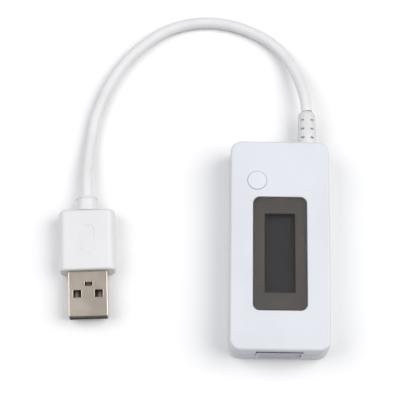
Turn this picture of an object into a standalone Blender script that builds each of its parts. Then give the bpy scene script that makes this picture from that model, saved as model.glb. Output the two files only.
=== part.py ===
"""USB power meter: a flat two-shell case with a display window, one push button and a USB-A socket in its
end wall, fed by a short captive lead with a moulded USB-A plug.

The case lies on its back. The origin is the centre of its base, +X across it, +Y towards the lead and +Z
out of the display. Every size below is in millimetres, and the helpers turn them into metres.
"""

import math

import bmesh
import bpy
from mathutils import Vector

MM = 0.001

# ---------------------------------------------------------------- driving dimensions
CASE_WIDTH = 30.4
CASE_LENGTH = 65.6
CASE_HEIGHT = 12.5
CASE_CORNER = 3.6
FRONT_RIM = 1.1  # rounding between the display face and the walls
REAR_RIM = 1.0
WALL = 1.5
FLOOR = 1.6
ROOF = 2.0
SPLIT_Z = 6.2  # where the two shells meet
SPLIT_GAP = 0.2
LIP_HEIGHT = 0.9  # the rear shell's lip stands inside the front shell's skirt
SKIRT = 0.75
FIT = 0.1  # gap between pieces that touch

WINDOW_WIDTH = 16.4
WINDOW_LENGTH = 35.4
WINDOW_Y = -2.85
WINDOW_CORNER = 2.1
VIEW_WIDTH = 9.3  # the clear area of the window
VIEW_LENGTH = 24.7
VIEW_Y = -2.6

BUTTON_X = -6.95
BUTTON_Y = 20.0
BUTTON_RADIUS = 2.85

BOARD_WIDTH = 26.6
BOARD_LOW_Y = -29.3
BOARD_HIGH_Y = 24.6
BOARD_Z = 2.6
BOARD_THICK = 1.2
BOARD_TOP = BOARD_Z + BOARD_THICK
PART_Z = BOARD_TOP + FIT  # underside of the parts on the board

SOCKET_Z = 6.8
SOCKET_WIDTH = 13.2
SOCKET_HEIGHT = 5.75
SOCKET_MOUTH_Y = -CASE_LENGTH / 2 - 0.3  # the flared lip stands just proud of the end wall
SOCKET_DEPTH = 13.6
SHEET = 0.35  # sheet metal of the socket's shell

GLAND_X = 8.7
GLAND_TIP_Y = 44.4
CABLE_RADIUS = 1.75
WIRE_RADIUS = 0.45

PLUG_ORIGIN = (-58.05, -7.55, 4.0)  # centre of the overmould's front face
PLUG_TURN = 2.7  # degrees
GRIP_WIDTH = 17.2
GRIP_LENGTH = 19.2
GRIP_HEIGHT = 8.0
COLLAR_END = 23.8
COLLAR_RADIUS = 3.15
PLUG_WIDTH = 12.0  # the USB-A plug's standard section
PLUG_HEIGHT = 4.5
PLUG_SHEET = 0.3
PLUG_EXPOSED = 14.1
PLUG_HIDDEN = 4.5
CONTACT_OFFSETS = (-3.5, -1.0, 1.0, 3.5)  # the four USB-A contacts across the plug or socket

CABLE_STEP = 7.0
# The lead's free route from the strain relief to the plug: it drops to the table, lies there in one wide
# loop and rises into the plug's collar.
CABLE_ROUTE = (
    (8.7, 44.7, 6.2),
    (8.4, 48.0, 6.1),
    (7.6, 52.0, 5.5),
    (5.6, 58.4, 4.1),
    (1.9, 65.2, 2.5),
    (-3.6, 70.5, 1.95),
    (-10.7, 74.2, 1.85),
    (-18.9, 76.3, 1.85),
    (-27.7, 76.0, 1.85),
    (-35.8, 73.3, 1.85),
    (-42.6, 68.5, 1.85),
    (-48.2, 62.8, 1.85),
    (-52.5, 56.3, 1.85),
    (-55.6, 49.5, 1.85),
    (-57.7, 42.4, 1.85),
    (-58.8, 35.1, 1.95),
    (-59.3, 28.5, 2.8),
    (-59.4, 22.5, 3.7),
    (-59.3, 19.0, 4.0),
    (-59.19, 16.5, 4.0),
)

# ---------------------------------------------------------------- materials: colour, roughness, metallic
FINISHES = {
    "case_plastic": ((0.80, 0.82, 0.85), 0.45, 0.0),
    "button_plastic": ((0.82, 0.84, 0.87), 0.40, 0.0),
    "lens_acrylic": ((0.10, 0.095, 0.09), 0.08, 0.0),
    "mask_film": ((0.11, 0.10, 0.095), 0.60, 0.0),
    "lcd_glass": ((0.05, 0.05, 0.06), 0.15, 0.0),
    "milky_acrylic": ((0.85, 0.87, 0.88), 0.35, 0.0),
    "black_plastic": ((0.03, 0.03, 0.035), 0.50, 0.0),
    "chip_epoxy": ((0.04, 0.04, 0.045), 0.60, 0.0),
    "ceramic": ((0.55, 0.42, 0.28), 0.45, 0.0),
    "board_laminate": ((0.03, 0.20, 0.09), 0.45, 0.0),
    "lead_jacket": ((0.85, 0.85, 0.85), 0.50, 0.0),
    "grip_plastic": ((0.87, 0.87, 0.88), 0.45, 0.0),
    "wire_red": ((0.60, 0.03, 0.03), 0.50, 0.0),
    "wire_white": ((0.85, 0.85, 0.85), 0.50, 0.0),
    "wire_green": ((0.05, 0.40, 0.10), 0.50, 0.0),
    "wire_black": ((0.02, 0.02, 0.02), 0.50, 0.0),
    "elastomer": ((0.30, 0.20, 0.22), 0.70, 0.0),
    "plated_steel": ((0.62, 0.59, 0.55), 0.32, 1.0),
    "gold_plate": ((0.85, 0.64, 0.28), 0.25, 1.0),
}


def clear_scene():
    for obj in list(bpy.data.objects):
        bpy.data.objects.remove(obj, do_unlink=True)


def material(name):
    found = bpy.data.materials.get(name)
    if found:
        return found
    colour, roughness, metallic = FINISHES[name]
    made = bpy.data.materials.new(name)
    made.use_nodes = True
    shader = made.node_tree.nodes["Principled BSDF"]
    shader.inputs["Base Color"].default_value = (*colour, 1.0)
    shader.inputs["Roughness"].default_value = roughness
    shader.inputs["Metallic"].default_value = metallic
    made.diffuse_color = (*colour, 1.0)
    return made


# ---------------------------------------------------------------- shape helpers
def add_object(name, bm, finish=None, at=(0, 0, 0), parent=None):
    """An object from a bmesh in millimetres, placed at a point in millimetres."""
    bmesh.ops.remove_doubles(bm, verts=bm.verts, dist=1e-5)
    bmesh.ops.recalc_face_normals(bm, faces=bm.faces)
    bmesh.ops.scale(bm, verts=bm.verts, vec=(MM, MM, MM))
    mesh = bpy.data.meshes.new(name)
    bm.to_mesh(mesh)
    bm.free()
    mesh.shade_smooth()
    mesh.set_sharp_from_angle(angle=math.radians(32))
    obj = bpy.data.objects.new(name, mesh)
    bpy.context.scene.collection.objects.link(obj)
    obj.location = Vector(at) * MM
    obj.parent = parent
    if finish:
        mesh.materials.append(material(finish))
    return obj


def rounded_ring(half_u, half_v, radius, steps):
    """Points round a rectangle with round corners. With no radius, its four corners."""
    signs = ((1, 1), (-1, 1), (-1, -1), (1, -1))
    if radius <= 0 or steps == 0:
        return [(su * half_u, sv * half_v) for su, sv in signs]
    ring = []
    for corner, (su, sv) in enumerate(signs):
        for step in range(steps + 1):
            angle = math.radians(90 * (corner + step / steps))
            u = su * (half_u - radius) + radius * math.cos(angle)
            v = sv * (half_v - radius) + radius * math.sin(angle)
            ring.append((u, v))
    return ring


def round_ring(radius, sides):
    turn = 2 * math.pi / sides
    return [(radius * math.cos(i * turn), radius * math.sin(i * turn)) for i in range(sides)]


def lofted(stations, along="Z", endless=False):
    """A skin over rings of equal length. A station is (ring, distance along the axis); endless joins the
    last ring to the first, which makes a sleeve, and otherwise both ends are capped."""
    bm = bmesh.new()
    rows = []
    for ring, far in stations:
        if along == "Z":
            points = [(u, v, far) for u, v in ring]
        else:
            points = [(u, far, v) for u, v in ring]
        rows.append([bm.verts.new(point) for point in points])
    pairs = list(zip(rows, rows[1:]))
    if endless:
        pairs.append((rows[-1], rows[0]))
    else:
        bm.faces.new(rows[0])
        bm.faces.new(rows[-1])
    for low, high in pairs:
        for i in range(len(low)):
            j = (i + 1) % len(low)
            bm.faces.new((low[i], low[j], high[j], high[i]))
    return bm


def block(half_u, half_v, low, high, corner=0.0, top_rim=0.0, low_rim=0.0, steps=5, rim_steps=1, along="Z"):
    """A rectangular block along an axis, with round corners and rounded or chamfered rims at its ends."""
    insets = []
    for step in range(rim_steps if low_rim else 0):
        angle = math.radians(90 * step / rim_steps)
        insets.append((low_rim * (1 - math.sin(angle)), low + low_rim * (1 - math.cos(angle))))
    insets.append((0.0, low + low_rim))
    insets.append((0.0, high - top_rim))
    for step in range(1, rim_steps + 1 if top_rim else 1):
        angle = math.radians(90 * step / rim_steps)
        insets.append((top_rim * (1 - math.cos(angle)), high - top_rim * (1 - math.sin(angle))))
    stations = []
    for inset, far in insets:
        ring = rounded_ring(half_u - inset, half_v - inset, corner - inset, steps if corner else 0)
        stations.append((ring, far))
    return lofted(stations, along)


def turned(profile, sides=24, along="Z"):
    """A body of revolution from (radius, distance) pairs."""
    return lofted([(round_ring(radius, sides), far) for radius, far in profile], along)


def ribbon(path, thickness, width):
    """A strip of sheet metal: its side view is a path of (y, z), and it is width wide along X."""
    line = [Vector(point) for point in path]
    upper, lower = [], []
    for i, point in enumerate(line):
        before = line[max(i - 1, 0)]
        after = line[min(i + 1, len(line) - 1)]
        run = (after - before).normalized()
        side = Vector((-run.y, run.x)) * thickness / 2
        upper.append(point + side)
        lower.append(point - side)
    bm = bmesh.new()
    outline = [bm.verts.new((-width / 2, p.x, p.y)) for p in upper + lower[::-1]]
    face = bm.faces.new(outline)
    made = bmesh.ops.extrude_face_region(bm, geom=[face])
    moved = [v for v in made["geom"] if isinstance(v, bmesh.types.BMVert)]
    bmesh.ops.translate(bm, verts=moved, vec=(width, 0, 0))
    return bm


def repeated(make, places):
    """One bmesh with a copy of a shape at each place."""
    whole = bmesh.new()
    for place in places:
        part = make()
        bmesh.ops.translate(part, verts=part.verts, vec=place)
        copy = bpy.data.meshes.new("copy")
        part.to_mesh(copy)
        part.free()
        whole.from_mesh(copy)
        bpy.data.meshes.remove(copy)
    return whole


def tool(name, bm, at=(0, 0, 0), parent=None):
    """A hidden shape that a Boolean uses."""
    obj = add_object(name, bm, at=at, parent=parent)
    obj.hide_render = True
    obj.display_type = "WIRE"
    return obj


def boolean(obj, other, operation):
    step = obj.modifiers.new(f"{operation}_{other.name}".lower(), "BOOLEAN")
    step.operation = operation
    step.solver = "EXACT"
    step.object = other


def cut(obj, other):
    boolean(obj, other, "DIFFERENCE")


def join(obj, other):
    boolean(obj, other, "UNION")


def tube(name, points, radius, finish):
    """A round cable through points that are already close together."""
    curve = bpy.data.curves.new(name, "CURVE")
    curve.dimensions = "3D"
    curve.bevel_depth = radius * MM
    curve.bevel_resolution = 2
    curve.use_fill_caps = True
    spline = curve.splines.new("POLY")
    spline.points.add(len(points) - 1)
    for slot, point in zip(spline.points, points):
        slot.co = (*(Vector(point) * MM), 1.0)
    obj = bpy.data.objects.new(name, curve)
    bpy.context.scene.collection.objects.link(obj)
    curve.materials.append(material(finish))
    return obj


def smooth_route(points, spacing):
    """Points about this far apart on a Catmull-Rom curve through the given ones."""
    line = [Vector(p) for p in points]
    line = [2 * line[0] - line[1], *line, 2 * line[-1] - line[-2]]
    fine = []
    for p0, p1, p2, p3 in zip(line, line[1:], line[2:], line[3:]):
        pieces = max(1, round((p2 - p1).length / spacing))
        for i in range(pieces):
            t = i / pieces
            fine.append(
                0.5 * (2 * p1 + (p2 - p0) * t + (2 * p0 - 5 * p1 + 4 * p2 - p3) * t**2
                       + (3 * p1 - p0 - 3 * p2 + p3) * t**3)
            )
    return [*fine, line[-2]]


# ---------------------------------------------------------------- the case's two shells
PEG_PLACES = ((-11.6, -26.5, 0), (11.6, -26.5, 0), (-11.7, 13.8, 0), (11.7, 13.8, 0))
PEG_RADIUS = 0.75
PEG_HOLE = 0.95
PEG_TOP = 5.6
POST_RADIUS = 1.7
SNAP_Y = (-19.0, 19.0)
SNAP_LENGTH = 7.0
OPENING_WIDTH = 14.3  # the socket's opening in the end wall
OPENING_LOW = 3.3
OPENING_HIGH = 10.3
GLAND_HOLE = 2.65
RIB_Y = 29.05  # the rib that traps the lead's flange
RIB_THICK = 1.3
RIB_NOTCH = 2.0
EDGE = 0.15  # chamfer along the parting line
ROOF_Z = CASE_HEIGHT - ROOF
LEDGE_Z = CASE_HEIGHT - 1.3  # where the window rests


def case_block(inset, low, high, **rims):
    """A block with the case's plan, drawn in by an inset."""
    half_w = CASE_WIDTH / 2 - inset
    half_l = CASE_LENGTH / 2 - inset
    return block(half_w, half_l, low, high, CASE_CORNER - inset, steps=6, **rims)


def snaps(proud, length, low, high):
    """The catches on the lip's two long sides. With larger sizes, the slots that take them."""
    root = 0.4
    face = CASE_WIDTH / 2 - SKIRT - FIT
    middle = face + (proud - root) / 2
    places = [(side * middle, y, 0) for side in (-1, 1) for y in SNAP_Y]
    return repeated(lambda: block((proud + root) / 2, length / 2, low, high), places)


def studs(profile, sides=16):
    """A turned shape at each of the four pegs."""
    return repeated(lambda: turned(profile, sides), PEG_PLACES)


def cut_openings(shell, tag):
    """The socket's opening, the lead's hole and the notch in its rib, each half in either shell."""
    end = CASE_LENGTH / 2
    half_h = (OPENING_HIGH - OPENING_LOW) / 2
    mouth = block(OPENING_WIDTH / 2, half_h, -end - 1, -end + 3, 0.5, steps=2, along="Y")
    cut(shell, tool(f"{tag}_socket_opening", mouth, (0, 0, OPENING_LOW + half_h)))
    hole = turned(((GLAND_HOLE, end - 2.5), (GLAND_HOLE, end + 1)), 24, "Y")
    cut(shell, tool(f"{tag}_gland_hole", hole, (GLAND_X, 0, SPLIT_Z)))
    notch = turned(((RIB_NOTCH, RIB_Y - RIB_THICK), (RIB_NOTCH, RIB_Y + RIB_THICK)), 20, "Y")
    cut(shell, tool(f"{tag}_rib_notch", notch, (GLAND_X, 0, SPLIT_Z)))


def gland_rib(low, high):
    return block(4.5, RIB_THICK / 2, low, high)


def add_front_shell():
    low = SPLIT_Z + SPLIT_GAP / 2
    inside = low - 1.0  # cutters start below the shell's edge
    body = case_block(0.0, low + EDGE, CASE_HEIGHT, top_rim=FRONT_RIM, rim_steps=4)
    shell = add_object("front_shell", body, "case_plastic")
    join(shell, tool("front_edge", case_block(0.0, low, low + 2 * EDGE, low_rim=EDGE)))
    cut(shell, tool("front_room", case_block(WALL, inside, ROOF_Z, top_rim=0.5)))
    cut(shell, tool("front_rabbet", case_block(SKIRT, inside, SPLIT_Z + LIP_HEIGHT + FIT)))
    cut(shell, tool("front_snap_slots", snaps(0.5, SNAP_LENGTH + 0.4, SPLIT_Z + 0.15, SPLIT_Z + 0.85)))

    seat_half = (WINDOW_WIDTH / 2 + FIT, WINDOW_LENGTH / 2 + FIT)
    seat = block(*seat_half, LEDGE_Z, CASE_HEIGHT + 1, WINDOW_CORNER + FIT)
    cut(shell, tool("window_seat", seat, (0, WINDOW_Y, 0)))
    opening = block(seat_half[0] - 1.1, seat_half[1] - 1.1, ROOF_Z - 1, CASE_HEIGHT, WINDOW_CORNER - 1)
    cut(shell, tool("window_opening", opening, (0, WINDOW_Y, 0)))
    hole_radius = BUTTON_RADIUS + 0.2
    hole = turned(((hole_radius, 9.0), (hole_radius, 12.2), (hole_radius + 0.5, 12.7)), 32)
    cut(shell, tool("button_hole", hole, (BUTTON_X, BUTTON_Y, 0)))

    join(shell, tool("front_posts", studs(((POST_RADIUS, PART_Z), (POST_RADIUS, ROOF_Z + 0.5)))))
    cut(shell, tool("front_post_bores", studs(((PEG_HOLE, BOARD_TOP), (PEG_HOLE, PEG_TOP + 0.5)), 12)))
    join(shell, tool("front_gland_rib", gland_rib(low, ROOF_Z + 0.5), (GLAND_X + 0.3, RIB_Y, 0)))
    cut_openings(shell, "front")


def add_rear_shell():
    high = SPLIT_Z - SPLIT_GAP / 2
    body = case_block(0.0, 0.0, high - EDGE, low_rim=REAR_RIM, rim_steps=4)
    shell = add_object("rear_shell", body, "case_plastic")
    join(shell, tool("rear_edge", case_block(0.0, high - 2 * EDGE, high, top_rim=EDGE)))
    join(shell, tool("rear_lip", case_block(SKIRT + FIT, 3, SPLIT_Z + LIP_HEIGHT)))
    join(shell, tool("rear_snaps", snaps(0.3, SNAP_LENGTH, SPLIT_Z + 0.3, SPLIT_Z + 0.7)))
    cut(shell, tool("rear_room", case_block(WALL, FLOOR, CASE_HEIGHT, low_rim=0.5)))
    sunk = FLOOR - 0.6  # what stands on the floor is rooted in it
    join(shell, tool("rear_seats", studs(((POST_RADIUS, sunk), (POST_RADIUS, BOARD_Z - FIT)))))
    peg = ((PEG_RADIUS, sunk), (PEG_RADIUS, PEG_TOP - 0.3), (PEG_RADIUS - 0.3, PEG_TOP))
    join(shell, tool("rear_pegs", studs(peg, 12)))
    join(shell, tool("rear_gland_rib", gland_rib(sunk, high), (GLAND_X + 0.3, RIB_Y, 0)))
    cut_openings(shell, "rear")


def add_window():
    """The flush lens, and the printed mask under it that leaves the display's clear area."""
    half = (WINDOW_WIDTH / 2 - FIT, WINDOW_LENGTH / 2 - FIT)
    corner = WINDOW_CORNER - FIT
    lens = block(*half, 0, 0.9, corner, top_rim=0.12)
    add_object("window_lens", lens, "lens_acrylic", (0, WINDOW_Y, LEDGE_Z + 0.21))
    outer = rounded_ring(*half, corner, 5)
    clear = rounded_ring(VIEW_WIDTH / 2, VIEW_LENGTH / 2, 0.3, 5)
    clear = [(u, v + VIEW_Y - WINDOW_Y) for u, v in clear]
    mask_thick = 0.14
    mask = lofted(((outer, 0), (outer, mask_thick), (clear, mask_thick), (clear, 0)), endless=True)
    add_object("window_mask", mask, "mask_film", (0, WINDOW_Y, LEDGE_Z + 0.03))


# ---------------------------------------------------------------- the button and its switch
CAP_LOW = 8.3  # the cap's post stands on the plunger here
PLUNGER_LOW = 6.2
PLUNGER_HEIGHT = CAP_LOW - FIT - PLUNGER_LOW
SWITCH_SIZE = 6.0


def add_button():
    """The cap, with a flange under the roof that keeps it in. Its origin is on the axis of its travel."""
    top = CASE_HEIGHT + 0.22
    profile = (
        (1.3, CAP_LOW),
        (1.3, 9.5),
        (3.7, 9.5),
        (3.7, ROOF_Z - FIT),
        (BUTTON_RADIUS, ROOF_Z - FIT),
        (BUTTON_RADIUS, top - 0.37),
        (BUTTON_RADIUS - 0.12, top - 0.1),
        (BUTTON_RADIUS - 0.4, top),
    )
    cap = turned([(radius, z - CAP_LOW) for radius, z in profile], 32)
    add_object("button_cap", cap, "button_plastic", (BUTTON_X, BUTTON_Y, CAP_LOW))


def add_switch():
    """A square tactile switch: base, snap dome, plunger and steel cover."""
    half = SWITCH_SIZE / 2
    base_height = 3.1
    well_depth = 1.7
    base = block(half, half, 0, base_height, 0.3, steps=1)
    base = add_object("switch_base", base, "black_plastic", (BUTTON_X, BUTTON_Y, PART_Z))
    well = turned(((2.35, base_height - well_depth), (2.35, base_height + 1)), 20)
    cut(base, tool("switch_well", well, (BUTTON_X, BUTTON_Y, PART_Z)))

    cover_z = PART_Z + base_height + FIT
    cover = block(half, half, 0, 0.3, 0.3, steps=1)
    cover = add_object("switch_cover", cover, "plated_steel", (BUTTON_X, BUTTON_Y, cover_z))
    eye = turned(((1.8, -1), (1.8, 1)), 20)
    cut(cover, tool("switch_eye", eye, (BUTTON_X, BUTTON_Y, cover_z)))

    profile = ((2.1, 0), (2.1, 0.35), (1.6, 0.35), (1.6, PLUNGER_HEIGHT - 0.2), (1.4, PLUNGER_HEIGHT))
    plunger = turned(profile, 20)
    add_object("switch_plunger", plunger, "black_plastic", (BUTTON_X, BUTTON_Y, PLUNGER_LOW))

    dome_radius = 2.1
    rise = 0.5
    sheet = 0.1
    steps = 4
    under = [(dome_radius * i / steps, rise * (1 - (i / steps) ** 2)) for i in range(steps + 1)]
    over = [(radius, z + sheet) for radius, z in under]
    dome_z = PART_Z + base_height - well_depth + FIT
    add_object("switch_dome", turned(over + under[::-1], 16), "plated_steel", (BUTTON_X, BUTTON_Y, dome_z))


# ---------------------------------------------------------------- the board and what stands on it
def add_board():
    half_l = (BOARD_HIGH_Y - BOARD_LOW_Y) / 2
    board = block(BOARD_WIDTH / 2, half_l, 0, BOARD_THICK, 1.0, steps=2)
    board = add_object("circuit_board", board, "board_laminate", (0, BOARD_LOW_Y + half_l, BOARD_Z))
    cut(board, tool("board_holes", studs(((PEG_HOLE, BOARD_Z - 1), (PEG_HOLE, BOARD_TOP + 1)), 12)))


def add_chip(name, size, pins, pitch, x, y):
    """A small-outline package with gull-wing leads out of its two long sides."""
    half_x, half_y, height = size[0] / 2, size[1] / 2, size[2]
    body = block(half_x, half_y, 0.12, height, top_rim=0.2)
    body = add_object(name, body, "chip_epoxy", (x, y, PART_Z))
    level = height / 2
    wing = ((half_y + 0.3, level), (half_y + 0.5, 0.1), (half_y + 1.0, 0.1))
    path = [(-far, z) for far, z in wing[::-1]] + list(wing)
    places = [((pin - (pins - 1) / 2) * pitch, 0, 0) for pin in range(pins)]
    leads = repeated(lambda: ribbon(path, 0.18, pitch * 0.42), places)
    join(body, tool(f"{name}_leads", leads, (x, y, PART_Z)))


def add_parts_on_board():
    add_chip("microcontroller", (7.2, 5.3, 1.6), 10, 0.65, 4.6, 18.4)
    add_chip("current_amplifier", (4.9, 3.9, 1.5), 4, 1.27, 10.5, 5.6)
    add_chip("voltage_regulator", (4.4, 2.4, 1.4), 3, 1.5, 10.5, -2.2)
    blocks = (
        ("shunt_resistor", (3.2, 6.4, 0.7), -10.5, -12.0, "black_plastic"),
        ("input_capacitor", (1.6, 3.2, 1.3), -10.5, -2.0, "ceramic"),
        ("output_capacitor", (1.6, 3.2, 1.3), 10.5, -12.0, "ceramic"),
        ("filter_capacitor", (1.3, 2.0, 0.9), -10.5, 6.0, "ceramic"),
    )
    for name, (width, length, height), x, y, finish in blocks:
        body = block(width / 2, length / 2, 0, height, 0.12, top_rim=0.1, low_rim=0.1, steps=2)
        add_object(name, body, finish, (x, y, PART_Z))


def add_display():
    """The liquid-crystal stack, which stands on the board under the window."""
    frame_height = 5.0
    inner_z = PART_Z + 0.2
    guide_height = 2.6
    outer = rounded_ring(7.6, 14.8, 0.5, 2)
    inner = rounded_ring(7.0, 14.2, 0.3, 2)
    frame = lofted(((outer, 0), (outer, frame_height), (inner, frame_height), (inner, 0)), endless=True)
    add_object("display_frame", frame, "black_plastic", (0, VIEW_Y, PART_Z))
    guide = block(6.9, 12.6, 0, guide_height)
    add_object("backlight_guide", guide, "milky_acrylic", (0, VIEW_Y + 0.1, inner_z))
    zebra = block(6.0, 0.6, 0, guide_height)
    add_object("zebra_connector", zebra, "elastomer", (0, VIEW_Y + 13.45, inner_z))
    lamp = block(1.6, 0.55, 0, 1.8, top_rim=0.2)
    add_object("backlight_led", lamp, "milky_acrylic", (0, VIEW_Y - 13.4, inner_z))
    glass = block(6.9, 14.1, 0, 1.7, top_rim=0.1)
    add_object("display_glass", glass, "lcd_glass", (0, VIEW_Y, inner_z + guide_height + 0.2))


# ---------------------------------------------------------------- the USB-A socket
def add_socket():
    """A folded shell with a flared mouth and spring slots, its tongue and four spring contacts."""
    mouth = SOCKET_MOUTH_Y
    back = mouth + SOCKET_DEPTH
    half_w, half_h = SOCKET_WIDTH / 2, SOCKET_HEIGHT / 2
    flare = 0.38
    flare_length = 1.2
    at = (0, 0, SOCKET_Z)

    def ring(grow):
        return rounded_ring(half_w + grow, half_h + grow, 0.6 + grow, 3)

    stations = (
        (ring(0), back),
        (ring(0), mouth + flare_length),
        (ring(flare), mouth),
        (ring(flare - SHEET), mouth - 0.05),
        (ring(-SHEET), mouth + flare_length - 0.05),
        (ring(-SHEET), back),
    )
    shell = add_object("socket_shell", lofted(stations, "Y", endless=True), "plated_steel", at)
    slot_places = [(x, 0, side * half_h) for x in (-3.2, 3.2) for side in (-1, 1)]
    slots = repeated(lambda: block(0.9, 1.0, mouth + 4.0, mouth + 8.0, along="Y"), slot_places)
    cut(shell, tool("socket_spring_slots", slots, at))

    room = SHEET + 0.15
    holder = block(half_w - room, half_h - room, back - 2.2, back - 0.2, along="Y")
    body = add_object("socket_tongue", holder, "black_plastic", at)
    blade_low, blade_thick = 0.25, 1.84
    blade = block(5.55, blade_thick / 2, mouth + 1.8, back - 1.5, along="Y")
    join(body, tool("socket_blade", blade, (0, 0, SOCKET_Z + blade_low + blade_thick / 2)))
    line_z = blade_low - 0.22
    path = (
        (mouth + 2.2, line_z + 0.02),
        (mouth + 3.0, line_z - 0.25),
        (mouth + 4.0, line_z - 0.45),
        (mouth + 5.4, line_z - 0.1),
        (back - 2.4, line_z),
    )
    for number, offset in enumerate(CONTACT_OFFSETS, 1):
        add_object(f"socket_contact_{number}", ribbon(path, 0.2, 1.0), "gold_plate", (offset, 0, SOCKET_Z))


# ---------------------------------------------------------------- the lead
TAIL_END_Y = 27.2  # the jacket ends here inside the case
PAD_Y = 23.2  # where the wires meet the board


def add_gland():
    """The tapered strain relief moulded on the lead, its flange trapped behind the end wall."""
    outside = CASE_LENGTH / 2
    inside = outside - WALL
    profile = (
        (3.2, inside - 1.35),
        (3.2, inside - 0.15),
        (2.5, inside - 0.15),
        (2.5, outside + 0.15),
        (2.9, outside + 0.15),
        (3.1, outside + 0.5),
        (3.05, outside + 1.4),
        (2.72, GLAND_TIP_Y - 1.9),
        (2.55, GLAND_TIP_Y - 0.9),
        (2.2, GLAND_TIP_Y - 0.25),
        (1.95, GLAND_TIP_Y),
    )
    at = (GLAND_X, 0, SPLIT_Z)
    gland = add_object("strain_relief", turned(profile, 24, "Y"), "lead_jacket", at)
    bottom, far = 1.35, 4.0  # pockets reach from this far off the axis to outside
    places = [(x, y, z) for x in (-1.5, 1.5) for y in (35.4, 38.3, 41.2) for z in (0, -bottom - far)]
    pockets = repeated(lambda: block(0.55, 0.33, bottom, far), places)
    cut(gland, tool("gland_pockets", pockets, at))


def add_lead():
    add_gland()
    tube("cable", smooth_route(CABLE_ROUTE, CABLE_STEP), CABLE_RADIUS, "lead_jacket")
    tail = turned(((CABLE_RADIUS, TAIL_END_Y), (CABLE_RADIUS, CASE_LENGTH / 2 - WALL - 1.45)), 16, "Y")
    add_object("cable_tail", tail, "lead_jacket", (GLAND_X, 0, SPLIT_Z))
    low = BOARD_TOP + WIRE_RADIUS + FIT
    high_y = TAIL_END_Y - 0.15
    wires = (
        ("wire_black", 5.0, -0.68, 0.68),
        ("wire_green", 7.4, -0.68, -0.68),
        ("wire_white", 9.9, 0.68, -0.68),
        ("wire_red", 12.2, 0.68, 0.68),
    )
    for name, pad_x, side, lift in wires:
        x, z = GLAND_X + side, SPLIT_Z + lift
        across, down = pad_x - x, z - low
        route = (
            (x, high_y, z),
            (x, high_y - 0.5, z),
            (x + 0.3 * across, high_y - 1.2, z - 0.25 * down),
            (x + 0.8 * across, high_y - 2.3, z - 0.8 * down),
            (pad_x, high_y - 3.2, low),
            (pad_x, PAD_Y, low),
        )
        tube(name, smooth_route(route, 2 * WIRE_RADIUS), WIRE_RADIUS, name)


# ---------------------------------------------------------------- the USB-A plug
def add_plug_frame():
    """The plug's own frame: -Y out of its tip, the origin at the middle of the overmould's front face."""
    frame = bpy.data.objects.new("plug_frame", None)
    bpy.context.scene.collection.objects.link(frame)
    frame.location = Vector(PLUG_ORIGIN) * MM
    frame.rotation_euler.z = math.radians(PLUG_TURN)
    return frame


def add_overmould(frame):
    steps = 5
    edge = 2.6  # rounding along the grip

    def grip(inset):
        return rounded_ring(GRIP_WIDTH / 2 - inset, GRIP_HEIGHT / 2 - inset, edge - inset, steps)

    def collar(radius):
        return rounded_ring(radius, radius, radius, steps)

    stations = (
        (grip(0.7), 0),
        (grip(0.25), 0.2),
        (grip(0), 0.7),
        (grip(0), GRIP_LENGTH - 1.0),
        (grip(0.3), GRIP_LENGTH - 0.3),
        (grip(1.0), GRIP_LENGTH),
        (collar(COLLAR_RADIUS), GRIP_LENGTH + 0.01),
        (collar(COLLAR_RADIUS), COLLAR_END - 1.0),
        (collar(COLLAR_RADIUS + 0.23), COLLAR_END - 0.85),
        (collar(COLLAR_RADIUS + 0.23), COLLAR_END - 0.2),
        (collar(COLLAR_RADIUS - 0.05), COLLAR_END),
    )
    overmould = add_object("plug_overmould", lofted(stations, "Y"), "grip_plastic", parent=frame)
    pocket = block(PLUG_WIDTH / 2 + FIT, PLUG_HEIGHT / 2 + FIT, -1, PLUG_HIDDEN + FIT, along="Y")
    cut(overmould, tool("plug_pocket", pocket, parent=frame))


def add_plug_shell(frame):
    tip = -PLUG_EXPOSED

    def ring(inset):
        return rounded_ring(PLUG_WIDTH / 2 - inset, PLUG_HEIGHT / 2 - inset, 0.65 - inset, 3)

    stations = (
        (ring(0), PLUG_HIDDEN),
        (ring(0), tip + 0.45),
        (ring(0.14), tip),
        (ring(PLUG_SHEET), tip),
        (ring(PLUG_SHEET), PLUG_HIDDEN),
    )
    shell = add_object("plug_shell", lofted(stations, "Y", endless=True), "plated_steel", parent=frame)
    window_places = [(x, tip + 7.05, 0) for x in (-3.25, 3.25)]
    windows = repeated(lambda: block(1.27, 1.15, -4, 4), window_places)
    cut(shell, tool("plug_windows", windows, parent=frame))
    lance = block(1.3, 0.78, PLUG_HEIGHT / 2 - 1, PLUG_HEIGHT / 2 + 1, 0.35, steps=3)
    cut(shell, tool("plug_lance_hole", lance, (0.2, -3.95, 0), frame))


def add_plug():
    frame = add_plug_frame()
    add_overmould(frame)
    add_plug_shell(frame)
    tip = -PLUG_EXPOSED
    tongue = block(5.6, 0.92, tip + 0.4, PLUG_HIDDEN - 0.1, 0.3, steps=2, along="Y")
    add_object("plug_tongue", tongue, "black_plastic", (0, 0, -0.95), frame)
    for number, offset in enumerate(CONTACT_OFFSETS, 1):
        start = tip + (1.4 if abs(offset) > 2 else 2.4)  # the outer pair, power, touches first
        strip = block(0.5, 0.1, start, PLUG_HIDDEN - 0.3, along="Y")
        add_object(f"plug_contact_{number}", strip, "gold_plate", (offset, 0, 0.13), frame)


def main():
    clear_scene()
    add_front_shell()
    add_rear_shell()
    add_window()
    add_button()
    add_switch()
    add_board()
    add_parts_on_board()
    add_display()
    add_socket()
    add_lead()
    add_plug()


main()
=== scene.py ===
import math

import bmesh
import bpy
from mathutils import Matrix, Vector


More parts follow.
